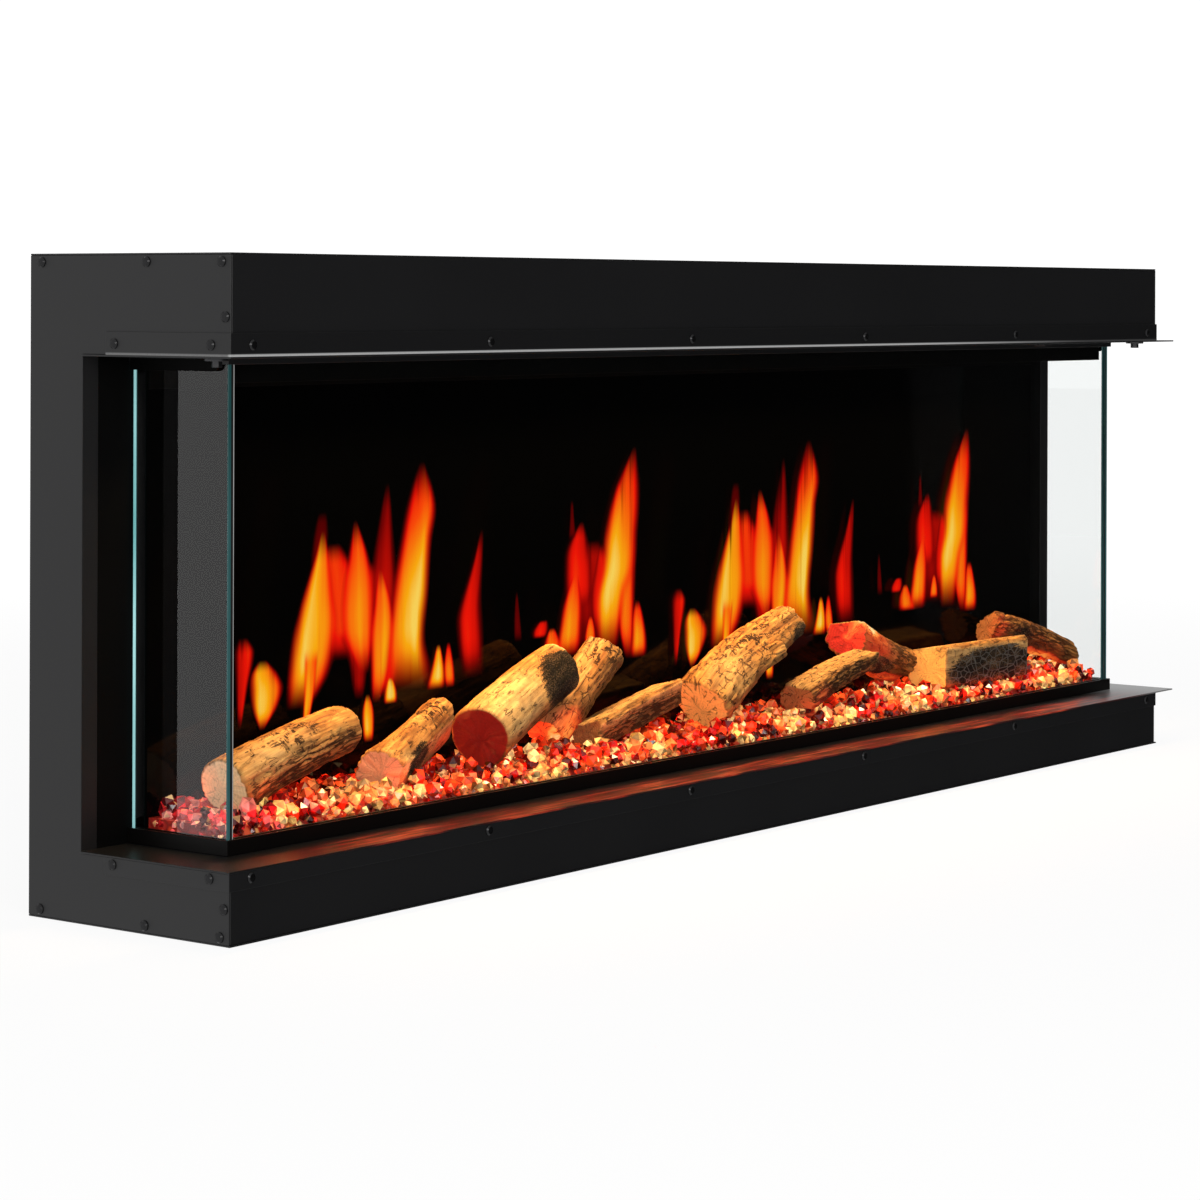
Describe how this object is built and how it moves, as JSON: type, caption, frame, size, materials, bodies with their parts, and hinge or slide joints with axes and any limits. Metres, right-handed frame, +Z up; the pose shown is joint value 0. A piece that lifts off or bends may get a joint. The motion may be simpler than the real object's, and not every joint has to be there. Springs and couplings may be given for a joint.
{
  "type": "recessed electric fireplace",
  "caption": "Long three-sided recessed electric fireplace: black steel casing, clear glass front and ends, glowing crystals and fibre logs before a flame screen, fan heater in the header.",
  "frame": {"origin": "On the floor of the base pan, under the middle of the lintel and shelf plates.", "axes": "+X along the width to the right as seen from the front, +Y to the back, +Z up."},
  "size_m": [1.5716, 0.2254, 0.538],
  "materials": {
    "casing_black": "satin black powder coat",
    "back_sheet": "matt black powder coat",
    "screw_black": "black zinc plating",
    "bolt_zinc": "dull zinc",
    "clear_glass": "clear tempered glass",
    "seal_black": "black silicone",
    "screen_dark": "smoked acrylic",
    "tray_amber": "translucent red-orange moulding",
    "crystal_orange": "cut acrylic crystal, lit from below",
    "log_tan": "matt moulded fibre, bark and sawn ends",
    "log_brown": "matt moulded fibre, charred bark",
    "circuit": "green solder mask",
    "light_bar": "white-coated strip with light chips",
    "bracket_zinc": "zinc-plated sheet",
    "bright_metal": "bright sheet",
    "steel_rod": "ground rod",
    "motor_black": "black motor can",
    "plastic_black": "black nylon",
    "plastic_white": "white nylon"
  },
  "bodies": {
    "casing": {"back_panel": "back_sheet", "bark_slab": "log_brown", "base_front_panel": "casing_black", "birch_log": "log_tan", "blower_housing": "bracket_zinc", "blower_motor": "motor_black", "board_standoffs": "plastic_white", "bottom_panel": "casing_black", "cable_grommet": "seal_black", "casing_screws": "screw_black", "control_board": "circuit", "corner_seals": "seal_black", "crystals": "crystal_orange", "driftwood_log": "log_brown", "drive_bracket": "bracket_zinc", "ember_light_bar": "light_bar", "ember_log": "log_brown", "ember_tray": "tray_amber", "flame_light_bar": "light_bar", "flame_mask": "back_sheet", "flame_screen": "screen_dark", "forked_log": "log_brown", "front_glass": "clear_glass", "front_valance": "casing_black", "glass_rail": "casing_black", "glass_retainers": "casing_black", "glass_rim": "casing_black", "header_front_panel": "casing_black", "heating_element": "bright_metal", "idle_bracket": "bracket_zinc", "left_glass": "clear_glass", "left_side_panel": "casing_black", "left_spine_jamb": "casing_black", "light_bar_stands": "bracket_zinc", "light_driver": "plastic_black", "lintel_bolts": "bolt_zinc", "lintel_plate": "casing_black", "lower_trim_band": "casing_black", "outlet_grille": "casing_black", "right_glass": "clear_glass", "right_side_panel": "casing_black", "right_spine_jamb": "casing_black", "rocker_bezel": "plastic_black", "sawn_log": "log_tan", "screen_top_trim": "casing_black", "shelf_plate": "casing_black", "spindle_motor": "motor_black", "split_log": "log_tan", "stub_log": "log_tan", "stump_log": "log_brown", "terminal_block": "plastic_black", "top_panel": "casing_black", "trim_screws": "screw_black", "upper_trim_band": "casing_black", "wedge_log": "log_tan"},
    "flame_spindle": {"spindle_shaft": "steel_rod", "spindle_reflectors": "bright_metal", "spindle_coupling": "plastic_black"},
    "blower_rotor": {"blower_rotor": "bright_metal"},
    "power_rocker": {"rocker_key": "plastic_black"}
  },
  "joints": [
    {"name": "flame_spindle_spin", "type": "hinge", "parent": "casing", "child": "flame_spindle", "pos_m": [0, 0.081, 0.095], "axis": [1, 0, 0], "continuous": true},
    {"name": "blower_spin", "type": "hinge", "parent": "casing", "child": "blower_rotor", "pos_m": [-0.04, -0.0645, 0.498], "axis": [1, 0, 0], "continuous": true},
    {"name": "power_rocker_tilt", "type": "hinge", "parent": "casing", "child": "power_rocker", "pos_m": [0.52, -0.083, 0.4639], "axis": [0, -1, 0], "range_deg": [0, 18]}
  ]
}
